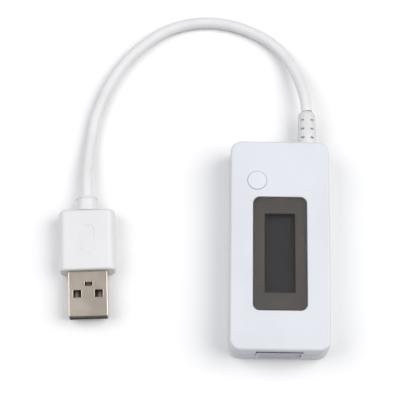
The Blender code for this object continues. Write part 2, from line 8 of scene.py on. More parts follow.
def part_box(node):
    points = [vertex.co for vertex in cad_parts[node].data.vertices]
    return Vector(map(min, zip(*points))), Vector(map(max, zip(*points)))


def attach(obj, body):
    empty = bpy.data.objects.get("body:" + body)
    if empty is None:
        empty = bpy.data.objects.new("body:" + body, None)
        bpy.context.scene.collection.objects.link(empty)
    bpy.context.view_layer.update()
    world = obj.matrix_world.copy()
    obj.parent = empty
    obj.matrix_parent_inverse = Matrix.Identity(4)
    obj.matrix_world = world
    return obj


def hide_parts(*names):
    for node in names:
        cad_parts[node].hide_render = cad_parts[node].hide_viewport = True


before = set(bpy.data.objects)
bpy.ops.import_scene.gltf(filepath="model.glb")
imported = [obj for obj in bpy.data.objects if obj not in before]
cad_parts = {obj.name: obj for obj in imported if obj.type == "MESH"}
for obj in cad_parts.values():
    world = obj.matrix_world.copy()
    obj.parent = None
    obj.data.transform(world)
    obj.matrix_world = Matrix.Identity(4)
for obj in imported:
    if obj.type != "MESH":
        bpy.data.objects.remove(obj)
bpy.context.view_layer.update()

MM = 0.001

# ---------------------------------------------------------------- places, in millimetres, from the frame
CASE_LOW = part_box("rear_shell")[0] / MM
CASE_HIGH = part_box("front_shell")[1] / MM
CASE_HALF = ((CASE_HIGH.x - CASE_LOW.x) / 2, (CASE_HIGH.y - CASE_LOW.y) / 2)
CASE_CORNER = 3.6
CASE_WALL = 1.5
REVEAL = 0.12  # the front shell stands this far inside the rear shell's outline
REAR_LIP = 0.85  # the rear shell's lip stands this far inside its outline
REAR_LIP_TOP = 7.1
REAR_FLOOR = 1.6
END_Y = CASE_HIGH.y
TOP_Z = CASE_HIGH.z
SPLIT_LOW = 6.1  # the parting groove's two edges
SPLIT_HIGH = 6.3
LENS_LOW, LENS_HIGH = (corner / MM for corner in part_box("window_lens"))
LENS_MIDDLE = (LENS_LOW + LENS_HIGH) / 2
CAP_LOW, CAP_HIGH = (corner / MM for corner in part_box("button_cap"))
CAP_MIDDLE = (CAP_LOW + CAP_HIGH) / 2
CAP_RADIUS = 2.88
CAP_STEM_RADIUS = 1.3
CAP_FLANGE_RADIUS = 3.7
CAP_FLANGE_LOW, CAP_FLANGE_HIGH = 9.5, 10.4
CAP_CROWN = 0.06
HOLE_RADIUS = 2.95
GLAND_LOW, GLAND_HIGH = (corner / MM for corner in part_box("strain_relief"))
GLAND_MIDDLE = (GLAND_LOW + GLAND_HIGH) / 2
GLAND_THICK, GLAND_THIN = 3.03, 2.70  # the taper's radii
GLAND_TAPER_START = 1.6
GLAND_NOSE = 1.9
GLAND_NOSE_TURN = 66
POCKET_ROWS = (35.4, 38.3, 41.2)
POCKET_SIDE = 1.5
SOCKET_LOW, SOCKET_HIGH = (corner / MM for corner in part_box("socket_shell"))
SOCKET_MIDDLE = (SOCKET_LOW + SOCKET_HIGH) / 2
SOCKET_HALF = (6.6, 2.875)
SOCKET_SHEET = 0.35
SOCKET_FINGER_X = 3.2
SOCKET_FINGER_HALF = 0.8
SOCKET_SLOT_HALF = (0.12, 1.0)
SOCKET_SLOT_ENDS = (3.8, 8.0)  # behind the mouth
MOUTH_HALF = (7.05, 3.4)  # the opening in the end wall
MOUTH_CORNER = 0.5
MOUTH_Z = 6.8
MOUTH_DEPTH = 3
VIEW_HALF = (7.2, 16.7)  # the opening under the window
VIEW_CORNER = 1.2
SEAT_CORNER = 2.1
SEAT_GAP = 0.12
SEAT_Z = 11.2

PLUG_ORIGIN = (-58.05, -7.55, 4.0)  # the middle of the overmould's front face
PLUG_TURN = 2.7  # degrees
GRIP_HALF = (8.6, 4.0)
GRIP_LENGTH = 19.2
COLLAR_END = 23.8
PLUG_HALF = (6.0, 2.25)
PLUG_EXPOSED = 14.1
PLUG_HIDDEN = 4.5
PLUG_SHEET = 0.3
PLUG_CORNER = 0.34
PLUG_POCKET_GAP = 0.06
WINDOW_HALF = (1.2, 1.08)  # the latch windows in the plug's shell
WINDOW_CORNER = 0.12
WINDOW_X = 3.25
WINDOW_FROM_TIP = 7.05
LANCE_HALF = (1.15, 0.65)
LANCE_CORNER = 0.35
LANCE_PLACE = (0.2, -3.95)
PUNCHED_ROUNDING = 0.16
GROOVE_HALF = (2.2, 4.5)  # the middle line of the oval groove in the grip's face

CABLE_DIAMETER = 3.5
CABLE_SPACING = 0.0012
CABLE_ROUTE = (
    (0.0087, 0.0447, 0.0062),
    (0.0084, 0.0480, 0.0061),
    (0.0076, 0.0520, 0.0055),
    (0.0056, 0.0584, 0.0041),
    (0.0019, 0.0652, 0.0025),
    (-0.0036, 0.0705, 0.00195),
    (-0.0107, 0.0742, 0.00185),
    (-0.0189, 0.0763, 0.00185),
    (-0.0277, 0.0760, 0.00185),
    (-0.0358, 0.0733, 0.00185),
    (-0.0426, 0.0685, 0.00185),
    (-0.0482, 0.0628, 0.00185),
    (-0.0525, 0.0563, 0.00185),
    (-0.0556, 0.0495, 0.00185),
    (-0.0577, 0.0424, 0.00185),
    (-0.0588, 0.0351, 0.00195),
    (-0.0593, 0.0285, 0.0028),
    (-0.0594, 0.0225, 0.0037),
    (-0.0593, 0.0190, 0.0040),
    (-0.05919, 0.0165, 0.0040),
)


# ---------------------------------------------------------------- camera, lights and floor
CAMERA_TILT = 17.37  # degrees off the vertical
CAMERA_ROLL = 0.76
CAMERA_TARGET = (-24.29, 15.48, 6.0)  # in millimetres
CAMERA_DISTANCE = 0.4885
CAMERA_LENS = 142.97
CAMERA_SENSOR = 36

LIGHT_AIM = (-0.02, 0.02, 0.0)
WHITE = (1, 1, 1)
LIGHTS = (  # name, place, width, watts and colour
    ("overhead", (0.0, 0.18, 0.85), 1.6, 3.2, WHITE),
    ("right", (0.60, 0.03, 0.76), 0.9, 8.0, WHITE),
    ("left", (-0.64, 0.05, 0.74), 0.9, 5.9, (0.96, 0.96, 1.0)),
)
AMBIENT_COLOUR = (0.93, 0.95, 1.0, 1)
AMBIENT_STRENGTH = 0.06
FLOOR_RADIUS = 2.0
FLOOR_DROP = 0.00005


def add_camera():
    """The camera stands over the lower end, tilted a little off the vertical and rolled slightly."""
    tilt = math.radians(CAMERA_TILT)
    roll = math.radians(CAMERA_ROLL)
    target = Vector(CAMERA_TARGET) * MM
    back = Vector((0, -math.sin(tilt), math.cos(tilt)))
    data = bpy.data.cameras.new("camera")
    data.sensor_width = CAMERA_SENSOR
    data.lens = CAMERA_LENS
    data.clip_start = 0.05
    camera = bpy.data.objects.new("camera", data)
    place = Matrix.Translation(target + back * CAMERA_DISTANCE)
    camera.matrix_world = place @ Matrix.Rotation(tilt, 4, "X") @ Matrix.Rotation(roll, 4, "Z")
    bpy.context.scene.collection.objects.link(camera)
    bpy.context.scene.camera = camera


def add_light(name, place, size, watts, tint):
    data = bpy.data.lights.new(name, "AREA")
    data.shape = "DISK"
    data.size = size
    data.energy = watts
    data.color = tint
    light = bpy.data.objects.new(name, data)
    light.location = place
    light.rotation_euler = (Vector(LIGHT_AIM) - Vector(place)).to_track_quat("-Z", "Y").to_euler()
    bpy.context.scene.collection.objects.link(light)


def add_studio():
    for light in LIGHTS:
        add_light(*light)
    world = bpy.data.worlds.new("studio")
    world.use_nodes = True
    ambient = world.node_tree.nodes["Background"]
    ambient.inputs["Color"].default_value = AMBIENT_COLOUR
    ambient.inputs["Strength"].default_value = AMBIENT_STRENGTH
    scene = bpy.context.scene
    scene.world = world
    scene.view_settings.view_transform = "Standard"

    bm = bmesh.new()
    bmesh.ops.create_circle(bm, cap_ends=True, segments=64, radius=FLOOR_RADIUS)
    floor = mesh_object("floor", bm, floor_material(), scale=1)
    floor.location.z = -FLOOR_DROP


# ---------------------------------------------------------------- shape helpers
CUTTER_OVERSHOOT = 0.3
MERGE_DISTANCE = 1e-5
CREASE = 38  # degrees, before a piece is finished
MOULDED_CREASE = 42
SHEET_CREASE = 35
CUT_CREASE = 30


def mesh_object(name, bm, material, scale=MM, matrix=None):
    """An object from a bmesh, with smooth shading except at edges sharper than the crease angle."""
    bmesh.ops.remove_doubles(bm, verts=bm.verts, dist=MERGE_DISTANCE)
    bmesh.ops.recalc_face_normals(bm, faces=bm.faces)
    if matrix:
        bmesh.ops.transform(bm, matrix=matrix, verts=bm.verts)
    bmesh.ops.scale(bm, verts=bm.verts, vec=(scale, scale, scale))
    mesh = bpy.data.meshes.new(name)
    bm.to_mesh(mesh)
    bm.free()
    mesh.shade_smooth()
    mesh.set_sharp_from_angle(angle=math.radians(CREASE))
    obj = bpy.data.objects.new(name, mesh)
    bpy.context.scene.collection.objects.link(obj)
    if material:
        mesh.materials.append(material)
    return obj


def rounded_ring(half_u, half_v, radius, steps=10):
    ring = []
    for corner, (su, sv) in enumerate(((1, 1), (-1, 1), (-1, -1), (1, -1))):
        for step in range(steps + 1):
            angle = math.radians(90 * (corner + step / steps))
            u = su * (half_u - radius) + radius * math.cos(angle)
            v = sv * (half_v - radius) + radius * math.sin(angle)
            ring.append((u, v))
    return ring


def round_ring(radius, sides=64):
    turn = 2 * math.pi / sides
    return [(radius * math.cos(i * turn), radius * math.sin(i * turn)) for i in range(sides)]


def lofted(stations, along="Z", endless=False):
    """A skin over (ring, distance) stations of equal length, capped or joined end to start."""
    bm = bmesh.new()
    rows = []
    for ring, far in stations:
        points = [(u, v, far) if along == "Z" else (u, far, v) for u, v in ring]
        rows.append([bm.verts.new(point) for point in points])
    pairs = list(zip(rows, rows[1:]))
    if endless:
        pairs.append((rows[-1], rows[0]))
    else:
        bm.faces.new(rows[0])
        bm.faces.new(rows[-1])
    for low, high in pairs:
        for i in range(len(low)):
            j = (i + 1) % len(low)
            bm.faces.new((low[i], low[j], high[j], high[i]))
    return bm


def quarter(radius, steps, start=0.0, end=90.0):
    """(across, up) of points on an arc of a small rounding, in order."""
    angles = [math.radians(start + (end - start) * step / steps) for step in range(steps + 1)]
    return [(radius * math.cos(a), radius * math.sin(a)) for a in angles]


def pillow(half_u, half_v, low, high, corner, low_rim, high_rim, steps, rim_steps, along="Z"):
    """A rounded block: round corners in plan, and quarter-round rims at its two ends."""

    def ring(inset):
        return rounded_ring(half_u - inset, half_v - inset, corner - inset, steps)

    stations = []
    for across, up in reversed(quarter(low_rim, rim_steps)):
        stations.append((ring(low_rim - across), low + low_rim - up))
    for across, up in quarter(high_rim, rim_steps):
        stations.append((ring(high_rim - across), high - high_rim + up))
    return lofted(stations, along)


def turned(profile, sides=64, along="Z"):
    return lofted([(round_ring(radius, sides), far) for radius, far in profile], along)


def moved(bm, *offset):
    bmesh.ops.translate(bm, verts=bm.verts, vec=offset)
    return bm


def gathered(parts):
    """One bmesh from several."""
    whole = bmesh.new()
    for part in parts:
        copy = bpy.data.meshes.new("copy")
        part.to_mesh(copy)
        part.free()
        whole.from_mesh(copy)
        bpy.data.meshes.remove(copy)
    return whole


def carve(obj, bm, operation="DIFFERENCE", matrix=None):
    """Cuts a shape out of an object for good, or joins it on."""
    other = mesh_object("carver", bm, None, matrix=matrix)
    step = obj.modifiers.new("carve", "BOOLEAN")
    step.operation = operation
    step.solver = "EXACT"
    step.object = other
    bpy.context.view_layer.update()
    done = bpy.data.meshes.new_from_object(obj.evaluated_get(bpy.context.evaluated_depsgraph_get()))
    obj.modifiers.clear()
    old = obj.data
    name = old.name
    obj.data = done
    bpy.data.meshes.remove(old)
    done.name = name
    bpy.data.objects.remove(other)


def finish_edges(obj, crease):
    obj.data.shade_smooth()
    obj.data.set_sharp_from_angle(angle=math.radians(crease))
    even = obj.modifiers.new("even_shading", "WEIGHTED_NORMAL")
    even.keep_sharp = True


# ---------------------------------------------------------------- material helpers
NOISE_ROUGHNESS = 0.55
FIRST_COLOUR, SECOND_COLOUR, MIXED_COLOUR = 6, 7, 2  # the colour mix node's sockets


class Nodes:
    """A short way to write a material's node tree."""

    def __init__(self, name, roughness, metallic=0.0):
        self.material = bpy.data.materials.new(name)
        self.material.use_nodes = True
        self.tree = self.material.node_tree
        self.shader = self.tree.nodes["Principled BSDF"]
        self.shader.inputs["Roughness"].default_value = roughness
        self.shader.inputs["Metallic"].default_value = metallic
        self.place = self.add("ShaderNodeTexCoord").outputs["Object"]

    def add(self, kind, **settings):
        node = self.tree.nodes.new(kind)
        for key, value in settings.items():
            setattr(node, key, value)
        return node

    def link(self, source, target):
        self.tree.links.new(source, target)

    def stretched(self, x, y, z, turn=0.0):
        mapping = self.add("ShaderNodeMapping")
        mapping.inputs["Scale"].default_value = (x, y, z)
        mapping.inputs["Rotation"].default_value = (0, 0, turn)
        self.link(self.place, mapping.inputs["Vector"])
        return mapping.outputs["Vector"]

    def noise(self, scale, detail, vector=None):
        node = self.add("ShaderNodeTexNoise")
        node.inputs["Scale"].default_value = scale
        node.inputs["Detail"].default_value = detail
        node.inputs["Roughness"].default_value = NOISE_ROUGHNESS
        self.link(vector or self.place, node.inputs["Vector"])
        return node.outputs["Fac"]

    def ramp(self, value, low, high, to_low=0.0, to_high=1.0):
        node = self.add("ShaderNodeMapRange")
        node.inputs["From Min"].default_value = low
        node.inputs["From Max"].default_value = high
        node.inputs["To Min"].default_value = to_low
        node.inputs["To Max"].default_value = to_high
        self.link(value, node.inputs["Value"])
        return node.outputs["Result"]

    def mix(self, factor, one, two):
        node = self.add("ShaderNodeMix", data_type="RGBA")
        self.link(factor, node.inputs["Factor"])
        for slot, colour in ((FIRST_COLOUR, one), (SECOND_COLOUR, two)):
            if isinstance(colour, tuple):
                node.inputs[slot].default_value = (*colour, 1)
            else:
                self.link(colour, node.inputs[slot])
        return node.outputs[MIXED_COLOUR]

    def colour(self, socket):
        self.link(socket, self.shader.inputs["Base Color"])

    def roughness(self, socket):
        self.link(socket, self.shader.inputs["Roughness"])

    def bump(self, height, depth_mm):
        node = self.add("ShaderNodeBump")
        node.inputs["Distance"].default_value = depth_mm * MM
        self.link(height, node.inputs["Height"])
        before = self.shader.inputs["Normal"].links
        if before:
            self.link(before[0].from_socket, node.inputs["Normal"])
        self.link(node.outputs["Normal"], self.shader.inputs["Normal"])

    def set(self, **values):
        for key, value in values.items():
            self.shader.inputs[key.replace("_", " ")].default_value = value


def shade(colour, factor):
    return tuple(min(1.0, channel * factor) for channel in colour)


def moulded(name, colour, roughness, grain=2600, depth=0.012, blotch=0.03):
    """Moulded plastic: a fine even grain, faint cloudiness in colour, and slightly uneven gloss."""
    nodes = Nodes(name, roughness)
    cloud = nodes.noise(scale=55, detail=2.0)
    speck = nodes.noise(scale=grain, detail=2.0)
    cloudy = nodes.ramp(cloud, low=0.35, high=0.65)
    nodes.colour(nodes.mix(cloudy, shade(colour, 1 - blotch), shade(colour, 1 + blotch / 2)))
    nodes.roughness(nodes.ramp(cloud, low=0.3, high=0.7, to_low=roughness - 0.05, to_high=roughness + 0.05))
    nodes.bump(speck, depth)
    return nodes.material


def sheet_metal(name, colour, roughness, turn=0.0):
    """Plated sheet steel: fine rolling lines along it, dull smudges and a fine speckle."""
    nodes = Nodes(name, roughness, metallic=1.0)
    lines = nodes.noise(scale=1.0, detail=3.0, vector=nodes.stretched(1500, 45, 1500, turn=turn))
    smudge = nodes.noise(scale=240, detail=3.0)
    speck = nodes.noise(scale=5200, detail=2.0)
    worn = nodes.ramp(smudge, low=0.40, high=0.62)
    nodes.colour(nodes.mix(worn, shade(colour, 0.985), shade(colour, 1.015)))
    dull = nodes.ramp(smudge, low=0.35, high=0.70, to_low=roughness - 0.03, to_high=roughness + 0.04)
    nodes.roughness(dull)
    nodes.bump(lines, depth_mm=0.0006)
    nodes.bump(speck, depth_mm=0.0004)
    return nodes.material


def floor_material():
    nodes = Nodes("studio_floor", roughness=0.9)
    soft = nodes.noise(scale=6, detail=2.0)
    nodes.colour(nodes.mix(soft, (0.84, 0.84, 0.84), (0.86, 0.86, 0.86)))
    nodes.set(Specular_IOR_Level=0.1)
    return nodes.material


CASE = (0.630, 0.648, 0.680)
LEAD = (0.70, 0.70, 0.70)
GRIP = (0.69, 0.69, 0.69)
STEEL = (0.61, 0.54, 0.465)
SOCKET_STEEL = (0.66, 0.65, 0.72)


def case_material():
    return moulded("case_plastic", CASE, 0.48, grain=3000, depth=0.010)


def lens_material():
    nodes = Nodes("lens_acrylic", roughness=0.05)
    nodes.set(Base_Color=(0.93, 0.92, 0.91, 1), Transmission_Weight=1.0, IOR=1.33)
    smear = nodes.noise(scale=90, detail=3.0)
    nodes.roughness(nodes.ramp(smear, low=0.3, high=0.7, to_low=0.03, to_high=0.09))
    nodes.bump(nodes.noise(scale=260, detail=2.0), depth_mm=0.003)
    return nodes.material


# ---------------------------------------------------------------- the lead
def smooth_route(points, spacing):
    """Points about this far apart on a Catmull-Rom curve through the given ones."""
    line = [Vector(p) for p in points]
    line = [2 * line[0] - line[1], *line, 2 * line[-1] - line[-2]]
    fine = []
    for p0, p1, p2, p3 in zip(line, line[1:], line[2:], line[3:]):
        pieces = max(1, round((p2 - p1).length / spacing))
        for i in range(pieces):
            t = i / pieces
            square = (2 * p0 - 5 * p1 + 4 * p2 - p3) * t**2
            cube = (3 * p1 - p0 - 3 * p2 + p3) * t**3
            fine.append(0.5 * (2 * p1 + (p2 - p0) * t + square + cube))
    return [*fine, line[-2]]


def path_length(points):
    return sum((b - a).length for a, b in zip(points, points[1:]))


def cable_material(name, colour):
    """Soft lead jacket: a fine grain over slow waves, and a little light passing under the skin."""
    nodes = Nodes(name, roughness=0.52)
    cloud = nodes.noise(scale=120, detail=2.0)
    cloudy = nodes.ramp(cloud, low=0.35, high=0.65)
    nodes.colour(nodes.mix(cloudy, shade(colour, 0.97), shade(colour, 1.02)))
    nodes.roughness(nodes.ramp(cloud, low=0.3, high=0.7, to_low=0.46, to_high=0.58))
    nodes.bump(nodes.noise(scale=4200, detail=2.0), depth_mm=0.008)
    nodes.bump(nodes.noise(scale=420, detail=2.0), depth_mm=0.02)
    nodes.set(Subsurface_Weight=0.08, Subsurface_Radius=(0.002, 0.002, 0.002), Subsurface_Scale=0.3)
    return nodes.material


def add_cable(material):
    points = smooth_route(CABLE_ROUTE, CABLE_SPACING)
    curve = bpy.data.curves.new("cable_lead", "CURVE")
    curve.dimensions = "3D"
    curve.bevel_depth = CABLE_DIAMETER / 2 * MM
    curve.bevel_resolution = 10
    curve.use_fill_caps = True
    spline = curve.splines.new("POLY")
    spline.points.add(len(points) - 1)
    for slot, point in zip(spline.points, points):
        slot.co = (*point, 1.0)
    spline.use_smooth = True
    curve.materials.append(material)
    cable = bpy.data.objects.new("cable_lead", curve)
    bpy.context.scene.collection.objects.link(cable)
    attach(cable, "meter")
    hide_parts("cable")
    return cable, path_length(points)


def gland_profile():
    """(radius, y) along the strain relief: a flange inside the wall, a neck, a lip, a taper and a nose."""
    inside = END_Y - CASE_WALL
    tip = GLAND_HIGH.y
    flange = ((0.0, -1.35), (3.15, -1.35), (3.15, -0.15), (2.5, -0.15))
    profile = [(radius, inside + far) for radius, far in flange]
    lip = ((2.5, 0.15), (2.75, 0.15), (2.95, 0.20), (3.07, 0.35), (3.1, 0.55), (3.08, 1.0))
    profile += [(radius, END_Y + far) for radius, far in lip]
    start = END_Y + GLAND_TAPER_START
    steps = 8
    for step in range(steps + 1):
        share = step / steps
        radius = GLAND_THICK - (GLAND_THICK - GLAND_THIN) * share
        profile.append((radius, start + (tip - GLAND_NOSE - start) * share))
    draw = 0.66
    stretch = 1 / math.sin(math.radians(GLAND_NOSE_TURN))
    for across, up in quarter(GLAND_NOSE, steps, 0, GLAND_NOSE_TURN)[1:]:
        profile.append((GLAND_THIN - (GLAND_NOSE - across) * draw, tip - GLAND_NOSE + up * stretch))
    profile.append((0.0, tip))
    return profile


def gland_pocket(face):
    """A cutter for one pocket, which widens towards the strain relief's skin."""
    sizes = (  # half width, half length, corner, and distance from the axis
        (0.46, 0.25, 0.20, 1.45),
        (0.55, 0.33, 0.30, 2.0),
        (0.60, 0.38, 0.34, 2.6),
        (0.72, 0.50, 0.42, 3.1),
    )
    return lofted([(rounded_ring(*size, steps=4), face * far) for *size, far in sizes])


def add_gland(material):
    """The tapered strain relief: a turned body with three pairs of pockets on its front and its back."""
    at = Matrix.Translation((GLAND_MIDDLE.x, 0, GLAND_MIDDLE.z))
    gland = mesh_object("lead_strain_relief", turned(gland_profile(), 72, "Y"), material, matrix=at)
    pockets = []
    for side in (-1, 1):
        for y in POCKET_ROWS:
            for face in (-1, 1):
                pockets.append(moved(gland_pocket(face), side * POCKET_SIDE, y, 0))
    carve(gland, gathered(pockets), matrix=at)
    finish_edges(gland, MOULDED_CREASE)
    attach(gland, "meter")
    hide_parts("strain_relief")
    return gland


# ---------------------------------------------------------------- the plug
def plug_matrix():
    return Matrix.Translation(PLUG_ORIGIN) @ Matrix.Rotation(math.radians(PLUG_TURN), 4, "Z")


def overmould_stations():
    """Rings from the grip's front face back to the collar's end."""
    half_w, half_h = GRIP_HALF
    steps = 12
    edge = 2.6
    front_rim, rear_rim = 0.7, 1.1
    root = 0.35
    neck = 3.15
    lip = 0.23

    def grip(inset):
        return rounded_ring(half_w - inset, half_h - inset, edge - inset, steps)

    def collar(radius):
        return rounded_ring(radius, radius, radius, steps)

    stations = []
    for across, up in reversed(quarter(front_rim, 6)):
        stations.append((grip(front_rim - across), front_rim - up))
    for across, up in quarter(rear_rim, 8):
        stations.append((grip(rear_rim - across), GRIP_LENGTH - rear_rim + up))
    for across, up in quarter(root, 4, 90, 0):
        stations.append((collar(neck + root - across), GRIP_LENGTH + root - up + 0.01))
    for share, from_end in ((0, 0.82), (0.6, 0.74), (1, 0.62), (1, 0.22), (0.6, 0.08)):
        stations.append((collar(neck + lip * share), COLLAR_END - from_end))
    stations.append((collar(neck - 0.05), COLLAR_END))
    return stations


def oval_groove():
    """A cutter for the plain oval groove in the grip's face, as a closed loop of its section."""
    section = ((0.10, -0.12), (0.16, -0.03), (0.25, 0.05), (-0.25, 0.05), (-0.16, -0.03), (-0.10, -0.12))
    half_u, half_v = GROOVE_HALF
    stations = []
    for grow, rise in section:
        stations.append((rounded_ring(half_u + grow, half_v + grow, half_u + grow, 12), GRIP_HALF[1] + rise))
    return lofted(stations, endless=True)


def add_overmould(material):
    place = plug_matrix()
    grip = mesh_object("plug_grip", lofted(overmould_stations(), "Y"), material, matrix=place)
    pocket_half = [half + PLUG_POCKET_GAP for half in PLUG_HALF]
    corner, rim = 0.7, 0.1
    pocket = pillow(*pocket_half, -1, PLUG_HIDDEN + 0.1, corner, rim, rim, steps=4, rim_steps=1, along="Y")
    carve(grip, pocket, matrix=place)
    carve(grip, moved(oval_groove(), 0, GRIP_LENGTH / 2, 0), matrix=place)
    finish_edges(grip, MOULDED_CREASE)
    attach(grip, "meter")
    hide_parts("plug_overmould")
    return grip


def pressed_tab():
    """A tongue of the sheet, bent down into its hole from the end near the grip."""
    half = 0.72
    chamfer = 0.04
    shoulder = half - 0.08
    stations = []
    for along, drop in ((0.95, 0.0), (0.66, -0.03), (0.42, -0.14), (0.1, -0.34), (-0.28, -0.60)):
        low = drop - PLUG_SHEET
        side = drop - chamfer
        ring = ((-half, low), (half, low), (half, side), (shoulder, drop), (-shoulder, drop), (-half, side))
        stations.append((ring, along))
    return moved(lofted(stations, "Y"), *LANCE_PLACE, PLUG_HALF[1])


def add_plug_shell(material):
    """The folded shell: latch windows on both faces, a pressed tab and a lead-in lip."""
    half_w, half_h = PLUG_HALF
    tip = -PLUG_EXPOSED
    lip = ((0.0, 0.7), (0.03, 0.4), (0.10, 0.12), (0.17, 0.02), (0.23, 0.0), (PLUG_SHEET, 0.05))

    def ring(inset):
        return rounded_ring(half_w - inset, half_h - inset, PLUG_CORNER - inset, 8)

    stations = [(ring(0), PLUG_HIDDEN)]
    stations += [(ring(inset), tip + far) for inset, far in lip]
    stations.append((ring(PLUG_SHEET), PLUG_HIDDEN))
    place = plug_matrix()
    shell = mesh_object("plug_metal_shell", lofted(stations, "Y", endless=True), material, matrix=place)
    for x in (-WINDOW_X, WINDOW_X):
        for side in (-1, 1):
            face = side * half_h
            window = edge_cutter(*WINDOW_HALF, WINDOW_CORNER, 0, face, PUNCHED_ROUNDING, outward=side)
            carve(shell, moved(window, x, tip + WINDOW_FROM_TIP, 0), matrix=place)
    lance = edge_cutter(*LANCE_HALF, LANCE_CORNER, 0, half_h, PUNCHED_ROUNDING)
    carve(shell, moved(lance, *LANCE_PLACE, 0), matrix=place)
    carve(shell, pressed_tab(), "UNION", place)
    finish_edges(shell, CUT_CREASE)
    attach(shell, "meter")
    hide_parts("plug_shell")
    return shell


# ---------------------------------------------------------------- the case
def case_ring(inset, steps=14):
    return rounded_ring(CASE_HALF[0] - inset, CASE_HALF[1] - inset, CASE_CORNER - inset, steps)


def edge_cutter(half_u, half_v, corner, low, face, rounding=0.14, along="Z", outward=1):
    """A cutter whose mouth flares out at a face, which leaves the hole's edge rounded."""
    stations = [(rounded_ring(half_u, half_v, corner, 10), low)]
    for across, up in quarter(rounding, 4):
        grow = rounding - across
        far = face - outward * (rounding - up)
        stations.append((rounded_ring(half_u + grow, half_v + grow, corner + grow, 10), far))
    widest = rounded_ring(half_u + rounding, half_v + rounding, corner + rounding, 10)
    stations.append((widest, face + outward * CUTTER_OVERSHOOT))
    return lofted(stations, along)


def end_wall_cutters():
    """The socket's opening and the lead's hole, with rounded edges."""
    deep = CASE_LOW.y + MOUTH_DEPTH
    mouth = edge_cutter(*MOUTH_HALF, MOUTH_CORNER, deep, CASE_LOW.y, along="Y", outward=-1)
    moved(mouth, 0, 0, MOUTH_Z)
    hole_profile = ((2.65, -2.5), (2.65, -0.12), (2.70, -0.03), (2.80, 0.3))
    hole = turned([(radius, END_Y + far) for radius, far in hole_profile], along="Y")
    moved(hole, GLAND_MIDDLE.x, 0, GLAND_MIDDLE.z)
    return mouth, hole


def lens_half():
    return (LENS_HIGH.x - LENS_LOW.x) / 2, (LENS_HIGH.y - LENS_LOW.y) / 2


def add_front(material):
    """The front shell: rounded top edge, room inside, window seat and opening, button hole and end holes."""
    rim = 0.8
    edge = 0.14
    lead_in = 0.14
    below = 9.0  # cutters start under the front wall
    stations = []
    for across, up in reversed(quarter(edge, 4)):
        stations.append((case_ring(REVEAL + edge - across), SPLIT_HIGH + edge - up))
    for across, up in quarter(rim, 10):
        stations.append((case_ring(REVEAL + rim - across), TOP_Z - rim + up))
    front = mesh_object("case_front", lofted(stations), material)
    room = ((0.75, 4.0), (0.75, 7.2), (CASE_WALL, 7.2), (CASE_WALL, 10.5))
    carve(front, lofted([(case_ring(inset, 6), far) for inset, far in room]))
    seat = edge_cutter(*[half + SEAT_GAP for half in lens_half()], SEAT_CORNER, SEAT_Z, TOP_Z)
    carve(front, moved(seat, LENS_MIDDLE.x, LENS_MIDDLE.y, 0))
    opening = lofted([(rounded_ring(*VIEW_HALF, VIEW_CORNER), far) for far in (below, 12.0)])
    carve(front, moved(opening, LENS_MIDDLE.x, LENS_MIDDLE.y, 0))
    hole = [(HOLE_RADIUS, below)]
    hole += [(HOLE_RADIUS + lead_in - across, TOP_Z - lead_in + up) for across, up in quarter(lead_in, 5)]
    hole.append((HOLE_RADIUS + lead_in, TOP_Z + CUTTER_OVERSHOOT))
    carve(front, moved(turned(hole), CAP_MIDDLE.x, CAP_MIDDLE.y, 0))
    for cutter in end_wall_cutters():
        carve(front, cutter)
    finish_edges(front, CUT_CREASE)
    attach(front, "meter")
    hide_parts("front_shell")


def add_rear(material):
    """The rear shell: rounded bottom edge, a lip that fits inside the front shell, room and end holes."""
    rim = 1.0
    edge = 0.32
    stations = [(case_ring(rim - across), rim - up) for across, up in reversed(quarter(rim, 10))]
    stations += [(case_ring(edge - across), SPLIT_LOW - edge + up) for across, up in quarter(edge, 4)]
    stations += [(case_ring(REAR_LIP), SPLIT_LOW), (case_ring(REAR_LIP), REAR_LIP_TOP)]
    rear = mesh_object("case_rear", lofted(stations), material)
    carve(rear, lofted([(case_ring(CASE_WALL, 6), far) for far in (REAR_FLOOR, 9.0)]))
    for cutter in end_wall_cutters():
        carve(rear, cutter)
    finish_edges(rear, CUT_CREASE)
    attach(rear, "meter")
    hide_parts("rear_shell")


def add_lens(material):
    corner, low_rim, high_rim = 2.0, 0.05, 0.12
    bm = pillow(*lens_half(), LENS_LOW.z, LENS_HIGH.z, corner, low_rim, high_rim, steps=12, rim_steps=3)
    lens = mesh_object("window_cover", moved(bm, LENS_MIDDLE.x, LENS_MIDDLE.y, 0), material)
    finish_edges(lens, CUT_CREASE)
    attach(lens, "meter")
    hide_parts("window_lens")


def add_cap(material):
    """The push button: a stem, a flange that stays under the shell, and a slightly crowned round top."""
    top = CAP_HIGH.z
    profile = [
        (0.0, CAP_LOW.z),
        (CAP_STEM_RADIUS, CAP_LOW.z),
        (CAP_STEM_RADIUS, CAP_FLANGE_LOW),
        (CAP_FLANGE_RADIUS, CAP_FLANGE_LOW),
        (CAP_FLANGE_RADIUS, CAP_FLANGE_HIGH),
        (CAP_RADIUS, CAP_FLANGE_HIGH),
    ]
    edge = 0.2
    reach = CAP_RADIUS - edge
    profile += [(reach + across, top - edge - CAP_CROWN + up) for across, up in quarter(edge, 8)]
    steps = 6
    for step in range(1, steps + 1):
        share = 1 - step / steps
        profile.append((reach * share, top - CAP_CROWN * share**2))
    cap = mesh_object("button_top", moved(turned(profile), CAP_MIDDLE.x, CAP_MIDDLE.y, 0), material)
    finish_edges(cap, MOULDED_CREASE)
    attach(cap, "button")
    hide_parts("button_cap")


